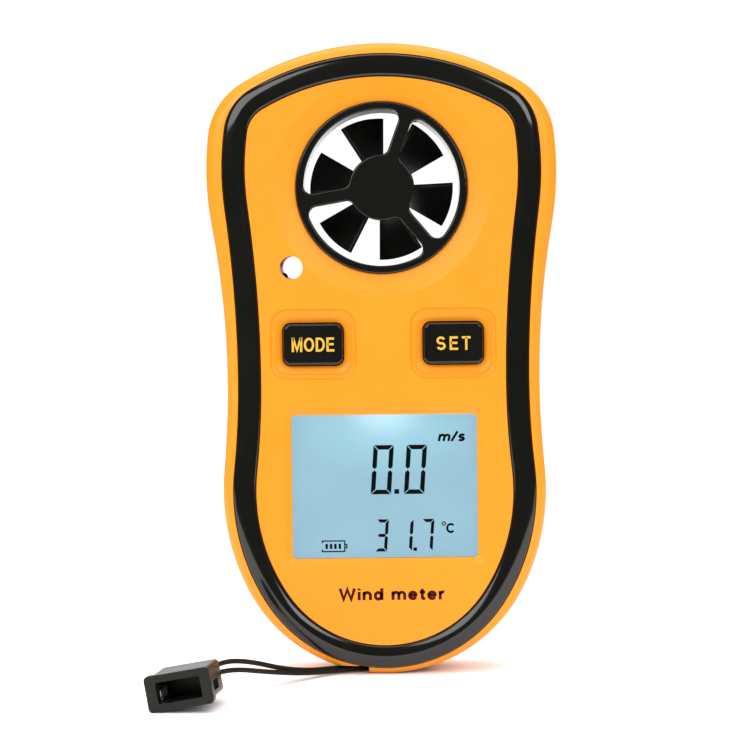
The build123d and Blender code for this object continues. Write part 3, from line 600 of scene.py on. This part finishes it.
def battery_symbol(x, y):
    """An outlined cell with four bars."""
    line, width, height = 0.21, 3.9, 1.95
    shapes = [
        rectangle(x, y, width, line), rectangle(x, y + height - line, width, line),
        rectangle(x + width - line, y, line, height),
        rectangle(x, y, line, 0.45), rectangle(x, y + height - 0.45, line, 0.45),
        rectangle(x + width, y + 0.6, 0.34, line),
        rectangle(x + width, y + height - 0.6 - line, 0.34, line),
        rectangle(x + width + 0.34 - line, y + 0.6, line, height - 1.2),
    ]
    return shapes + [rectangle(x + 0.62 + 0.72 * i, y + 0.52, 0.4, 0.86) for i in range(4)]


def display_mesh(name, shapes, centre, front):
    """Flat shapes on the display, in millimetres about its centre, with a little thickness."""
    mesh = bpy.data.meshes.new(name)
    work = bmesh.new()
    for shape in shapes:
        area = sum(a[0] * b[1] - b[0] * a[1] for a, b in zip(shape, shape[1:] + shape[:1]))
        ordered = shape if area > 0 else shape[::-1]
        rows = []
        for depth in (0.0, 0.02):
            rows.append([work.verts.new((centre.x + x * MM, front + depth * MM, centre.z + y * MM))
                         for x, y in ordered])
        work.faces.new(rows[0])
        work.faces.new(rows[1][::-1])
        count = len(ordered)
        for i in range(count):
            j = (i + 1) % count
            work.faces.new([rows[0][j], rows[0][i], rows[1][i], rows[1][j]])
    bmesh.ops.recalc_face_normals(work, faces=work.faces)
    work.to_mesh(mesh)
    work.free()
    return mesh


def make_display():
    low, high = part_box("window_lens")
    centre = (low + high) / 2
    glass_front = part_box("lcd_panel")[0].y
    half_width = (high.x - low.x) / 2
    glow = display_glow(centre, half_width, high.z)
    sheet_width, sheet_height = SHEET_SIZE
    outline = rectangle(-sheet_width / 2, -sheet_height / 2, sheet_width, sheet_height)
    sheet = display_mesh("display_sheet", [outline], centre, glass_front - SHEET_LIFT)
    mesh_piece("display_sheet", sheet, "meter", glow)
    ink = moulded("display_ink", (0.0012, 0.0028, 0.0055), 0.5, grain=0.0005, variation=0.1,
                  Specular_IOR_Level=0.05)
    shapes = []
    for character, x, y in LARGE_DIGITS:
        shapes += digit(character, x, y, *LARGE_DIGIT, DIGIT_SLANT)
    shapes.append(rectangle(*LARGE_POINT))
    for character, x, y in SMALL_DIGITS:
        shapes += digit(character, x, y, *SMALL_DIGIT, DIGIT_SLANT)
    shapes.append(rectangle(*SMALL_POINT))
    shapes += battery_symbol(*BATTERY_AT)
    shapes += lettering(*SPEED_UNIT)
    shapes += lettering(*DEGREE_LETTER)
    ring = arc(*DEGREE_RING_AT, DEGREE_RING_RADIUS, DEGREE_RING_RADIUS, 0, 360, 16)
    shapes += ribbon(ring, DEGREE_RING_LINE)
    digits = display_mesh("display_digits", shapes, centre, glass_front - INK_LIFT)
    mesh_piece("display_digits", digits, "meter", ink)


def make_legends():
    gold = moulded("legend_gold", (0.62, 0.36, 0.035), 0.45, Specular_IOR_Level=0.2)
    maroon = moulded("legend_maroon", (0.050, 0.004, 0.003), 0.5, Specular_IOR_Level=0.1)
    for name, text, width, cap, gap in BUTTON_WORDS:
        low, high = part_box(f"{name}_button")
        letters = lettering(text, 0, 0, width, cap, BUTTON_STROKE, gap)
        mesh = display_mesh(f"{name}_legend", letters, (low + high) / 2, low.y - PRINT_LIFT)
        mesh_piece(f"{name}_legend", mesh, f"{name}_key", gold)
    place = Vector((TITLE_AT[0], 0.0, TITLE_AT[1]))
    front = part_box("front_shell")[0].y - PRINT_LIFT
    mesh = display_mesh("title_legend", lettering(*TITLE), place, front)
    mesh_piece("title_legend", mesh, "meter", maroon)


# ---------------------------------------------------------------- assembly
make_camera()
make_cord()
make_stage()
materials = make_materials()
for node, material in materials.items():
    dress(node, material)
make_band(materials["accent_band"])
make_display()
make_legends()
